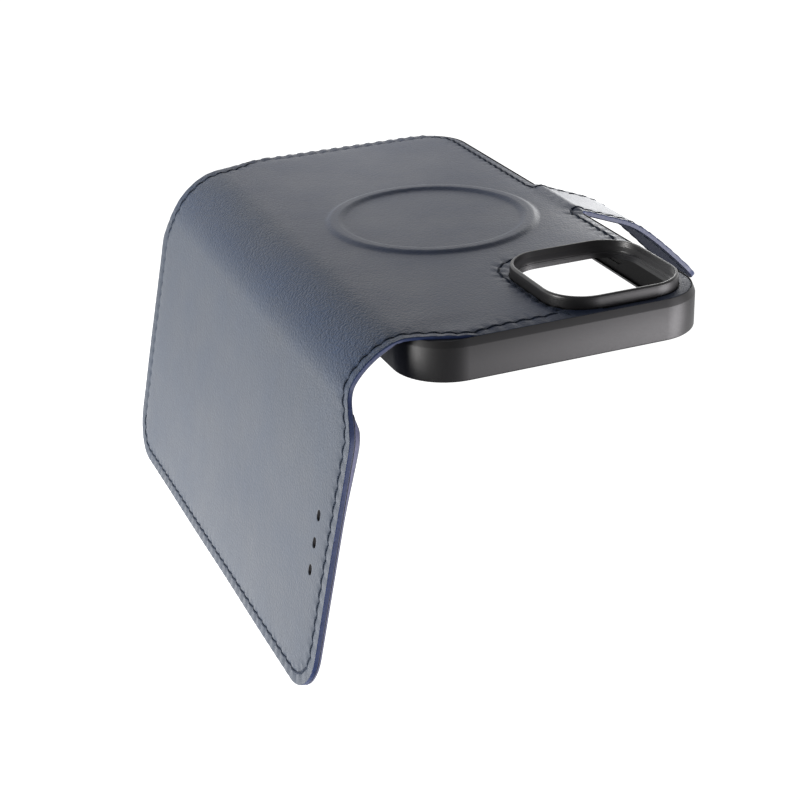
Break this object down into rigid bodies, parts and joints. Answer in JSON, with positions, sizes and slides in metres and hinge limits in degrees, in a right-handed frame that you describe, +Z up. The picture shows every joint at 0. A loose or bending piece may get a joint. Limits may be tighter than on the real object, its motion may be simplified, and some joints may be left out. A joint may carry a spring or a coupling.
{
  "type": "phone wallet case",
  "caption": "Book-style phone wallet case: moulded tray with a leather back, camera window and raised magnet ring, soft spine, pocketed cover and magnetic strap.",
  "frame": {"origin": "middle of the tray's bottom end, on the surface it stands on, at half of the tray's depth", "axes": "+X from the spine side to the strap side, +Y out of the leather back, +Z up to the camera end; the case stands half open on the bottom ends of tray and cover"},
  "size_m": [0.1428, 0.0873, 0.151],
  "materials": {
    "navy_leather": "fine-grained navy faux leather with a soft sheen",
    "lining_leather": "smooth blue-violet lining with painted edges",
    "pocket_leather": "smooth fine-grained pocket leather",
    "thread": "dark navy sewing thread",
    "tray_plastic": "satin black flexible plastic",
    "rim_plastic": "half-gloss black moulded rim",
    "tray_lining": "soft dark microfibre",
    "magnet_metal": "nickel-plated magnet",
    "plate_steel": "thin bare steel",
    "stiffener_board": "grey-brown stiffener board"
  },
  "bodies": {
    "tray": {"phone_shell": "tray_plastic", "camera_rim": "rim_plastic", "shell_lining": "tray_lining", "back_leather": "navy_leather", "magnet_ring": "magnet_metal", "back_stitching": "thread"},
    "power_button": {"power_button": "tray_plastic"},
    "volume_up_button": {"volume_up_button": "tray_plastic"},
    "volume_down_button": {"volume_down_button": "tray_plastic"},
    "spine": {"spine_leather": "navy_leather", "spine_lining": "lining_leather", "spine_stitching": "thread"},
    "cover": {"cover_leather": "navy_leather", "cover_board": "stiffener_board", "closure_plate": "plate_steel", "cover_lining": "lining_leather", "cash_pocket": "pocket_leather", "card_pocket_1": "pocket_leather", "card_pocket_2": "pocket_leather", "card_pocket_3": "pocket_leather", "cover_stitching": "thread"},
    "strap_1": {"strap_leather_1": "navy_leather", "strap_lining_1": "lining_leather", "strap_stitching_1": "thread"},
    "strap_2": {"strap_leather_2": "navy_leather", "strap_lining_2": "lining_leather", "strap_stitching_2": "thread"},
    "strap_3": {"strap_leather_3": "navy_leather", "strap_lining_3": "lining_leather", "strap_stitching_3": "thread"},
    "tab": {"tab_leather": "navy_leather", "tab_lining": "lining_leather", "tab_magnet": "magnet_metal", "tab_stitching": "thread"}
  },
  "joints": [
    {"name": "spine_fold", "type": "hinge", "parent": "tray", "child": "spine", "pos_m": [-0.04049, 0.00458, 0.0755], "axis": [0, 0, 1], "range_deg": [-129, 51]},
    {"name": "cover_fold", "type": "hinge", "parent": "spine", "child": "cover", "pos_m": [-0.05075, -0.00373, 0.0755], "axis": [0, 0, 1], "range_deg": [-129, 51]},
    {"name": "strap_fold_1", "type": "hinge", "parent": "tray", "child": "strap_1", "pos_m": [0.0386, 0.00445, 0.074], "axis": [0, 0, -1], "range_deg": [-8.01, 26]},
    {"name": "strap_fold_2", "type": "hinge", "parent": "strap_1", "child": "strap_2", "pos_m": [0.0446, 0.00238, 0.074], "axis": [0, 0, -1], "range_deg": [-11.73, 38.02]},
    {"name": "strap_fold_3", "type": "hinge", "parent": "strap_2", "child": "strap_3", "pos_m": [0.05031, -0.0004, 0.074], "axis": [0, 0, -1], "range_deg": [-11.42, 37.02]},
    {"name": "strap_fold_4", "type": "hinge", "parent": "strap_3", "child": "tab", "pos_m": [0.05558, -0.00395, 0.074], "axis": [0, 0, -1], "range_deg": [-11.3, 36.62]},
    {"name": "power_press", "type": "slide", "parent": "tray", "child": "power_button", "axis": [-1, 0, 0], "range_m": [0, 0.00035], "stiffness_N_per_m": 2000},
    {"name": "volume_up_press", "type": "slide", "parent": "tray", "child": "volume_up_button", "axis": [1, 0, 0], "range_m": [0, 0.00035], "stiffness_N_per_m": 2000},
    {"name": "volume_down_press", "type": "slide", "parent": "tray", "child": "volume_down_button", "axis": [1, 0, 0], "range_m": [0, 0.00035], "stiffness_N_per_m": 2000}
  ],
  "couplings": [
    {"joint": "strap_fold_2", "follows": "strap_fold_1", "ratio": 1.4615},
    {"joint": "strap_fold_3", "follows": "strap_fold_1", "ratio": 1.4231},
    {"joint": "strap_fold_4", "follows": "strap_fold_1", "ratio": 1.4077}
  ]
}
